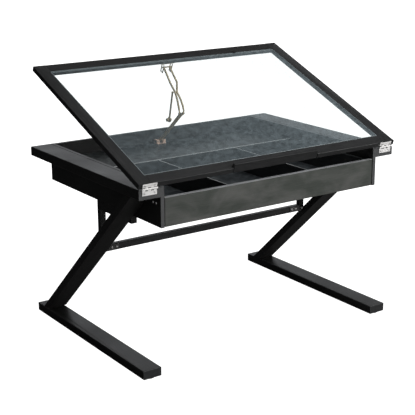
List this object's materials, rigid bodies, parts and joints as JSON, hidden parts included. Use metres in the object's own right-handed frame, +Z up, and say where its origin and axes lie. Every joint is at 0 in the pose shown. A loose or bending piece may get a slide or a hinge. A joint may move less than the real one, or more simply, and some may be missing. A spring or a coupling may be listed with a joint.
{
  "type": "drafting table",
  "caption": "Drafting table with a tilting glass top in a wooden frame, a pencil ledge, a shallow well, a divided drawer and sloping legs on floor rails.",
  "frame": {"origin": "on the floor, under the middle of the table", "axes": "+X to the right seen from the front, +Y to the back, +Z up"},
  "size_m": [1.226, 0.8914, 1.0743],
  "materials": {
    "wood_black": "satin black stain with fine grain",
    "wood_face": "satin grey-black stain",
    "panel_dark": "matt dark panel",
    "glass": "clear, pale blue-green at the edges",
    "clip": "matt",
    "zinc": "zinc plated",
    "steel": "dull plated",
    "bronze": "antique bronze plate",
    "rubber": "matt"
  },
  "bodies": {
    "stand": {"floor_pads": "rubber", "foot_left": "wood_black", "foot_right": "wood_black", "foot_bolts": "steel", "leg_left": "wood_black", "leg_right": "wood_black", "leg_bolts": "steel", "batten_left": "wood_black", "batten_right": "wood_black", "post_left": "wood_black", "post_right": "wood_black", "stretcher": "wood_black", "stretcher_plates": "steel", "plate_screws": "steel", "side_panel_left": "wood_black", "side_panel_right": "wood_black", "rear_panel": "panel_dark", "well_floor": "panel_dark", "side_board_left": "wood_black", "side_board_right": "wood_black", "panel_screws": "zinc", "runner_left": "steel", "runner_right": "steel", "hinge_board_leaves": "zinc", "hinge_pins": "steel", "hinge_board_screws": "steel", "prop_base": "bronze", "prop_base_pin": "steel"},
    "tabletop": {"frame_left_rail": "wood_black", "frame_right_rail": "wood_black", "frame_front_rail": "wood_black", "frame_rear_rail": "wood_black", "glass_top": "glass", "glass_clip": "clip", "hinge_frame_leaves": "zinc", "hinge_frame_screws": "steel", "prop_hanger": "bronze", "hanger_screws": "bronze"},
    "ledge": {"pencil_ledge": "wood_face"},
    "drawer": {"drawer_front": "wood_face", "drawer_side_left": "panel_dark", "drawer_side_right": "panel_dark", "drawer_back": "panel_dark", "drawer_floor": "panel_dark", "divider_left": "panel_dark", "divider_right": "panel_dark", "slide_left": "steel", "slide_right": "steel"},
    "prop_arm": {"prop_lower_arm": "bronze", "elbow_pin": "steel"},
    "prop_wire": {"prop_wire_arm": "bronze"},
    "prop_catch": {"prop_catch": "bronze", "catch_knob": "steel"}
  },
  "joints": [
    {"name": "top_tilt", "type": "hinge", "parent": "stand", "child": "tabletop", "pos_m": [0, -0.435, 0.735], "axis": [1, 0, 0], "range_deg": [-21.7, 3.3]},
    {"name": "ledge_slide", "type": "slide", "parent": "tabletop", "child": "ledge", "axis": [0, -0.3697, 0.9291], "range_m": [-0.018, 0]},
    {"name": "drawer_slide", "type": "slide", "parent": "stand", "child": "drawer", "axis": [0, -1, 0], "range_m": [0, 0.35]},
    {"name": "prop_base_pivot", "type": "hinge", "parent": "stand", "child": "prop_arm", "pos_m": [0, 0.397, 0.684], "axis": [1, 0, 0], "range_deg": [-6, 38.2]},
    {"name": "prop_elbow", "type": "hinge", "parent": "prop_arm", "child": "prop_wire", "pos_m": [0, 0.22138, 0.83407], "axis": [1, 0, 0], "range_deg": [-95.3, 14.7]},
    {"name": "catch_pivot", "type": "hinge", "parent": "prop_wire", "child": "prop_catch", "pos_m": [-0.018, 0.26122, 0.9213], "axis": [1, 0, 0], "range_deg": [-43.6, 6.8]}
  ],
  "couplings": [
    {"joint": "prop_base_pivot", "follows": "top_tilt", "ratio": -1.75},
    {"joint": "prop_elbow", "follows": "top_tilt", "ratio": 4.38},
    {"joint": "catch_pivot", "follows": "top_tilt", "ratio": 2}
  ]
}
